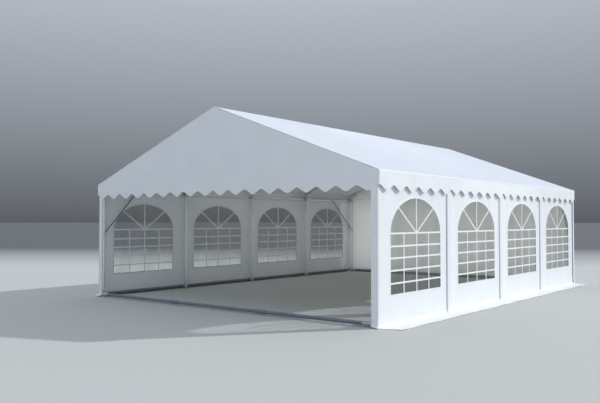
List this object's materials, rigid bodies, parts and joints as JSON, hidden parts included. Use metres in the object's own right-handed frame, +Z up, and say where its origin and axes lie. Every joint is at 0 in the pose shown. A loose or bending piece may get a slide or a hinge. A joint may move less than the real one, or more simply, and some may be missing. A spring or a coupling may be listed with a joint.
{
  "type": "frame marquee tent",
  "caption": "White frame marquee with an open front gable, scalloped valance, arched film windows and ground skirts on a steel tube frame.",
  "frame": {"origin": "on the ground under the middle of the whole outline, skirts included", "axes": "+Z up; +Y from the open gable towards the back wall, along the ridge; +X towards the right-hand side seen from the open gable"},
  "size_m": [6.5612, 8.2938, 3.14],
  "materials": {
    "galvanised_steel": "dull galvanised tube with darker cast fittings",
    "ground_bar_steel": "dark weathered galvanised tube",
    "cover_fabric": "white coated fabric, soft sheen",
    "wall_fabric": "white coated fabric, soft sheen",
    "window_film": "clear flexible film"
  },
  "bodies": {
    "root": {"post_left_1": "galvanised_steel", "post_left_2": "galvanised_steel", "post_left_3": "galvanised_steel", "post_left_4": "galvanised_steel", "post_left_5": "galvanised_steel", "post_right_1": "galvanised_steel", "post_right_2": "galvanised_steel", "post_right_3": "galvanised_steel", "post_right_4": "galvanised_steel", "post_right_5": "galvanised_steel", "rafter_pair_1": "galvanised_steel", "rafter_pair_2": "galvanised_steel", "rafter_pair_3": "galvanised_steel", "rafter_pair_4": "galvanised_steel", "rafter_pair_5": "galvanised_steel", "ridge_rail": "galvanised_steel", "eave_rail_left": "galvanised_steel", "ground_bar_left": "ground_bar_steel", "eave_rail_right": "galvanised_steel", "ground_bar_right": "ground_bar_steel", "ground_bar_front": "ground_bar_steel", "knee_brace_front_left": "galvanised_steel", "knee_brace_front_right": "galvanised_steel", "ground_bar_back": "ground_bar_steel", "knee_brace_back_left": "galvanised_steel", "knee_brace_back_right": "galvanised_steel", "roof_cover": "cover_fabric", "gable_front": "cover_fabric", "gable_back": "cover_fabric", "side_wall_left_1": "wall_fabric", "window_film_left_1": "window_film", "side_wall_left_2": "wall_fabric", "window_film_left_2": "window_film", "side_wall_left_3": "wall_fabric", "window_film_left_3": "window_film", "side_wall_left_4": "wall_fabric", "window_film_left_4": "window_film", "side_wall_right_1": "wall_fabric", "window_film_right_1": "window_film", "side_wall_right_2": "wall_fabric", "window_film_right_2": "window_film", "side_wall_right_3": "wall_fabric", "window_film_right_3": "window_film", "side_wall_right_4": "wall_fabric", "window_film_right_4": "window_film", "back_wall": "wall_fabric"}
  },
  "joints": []
}
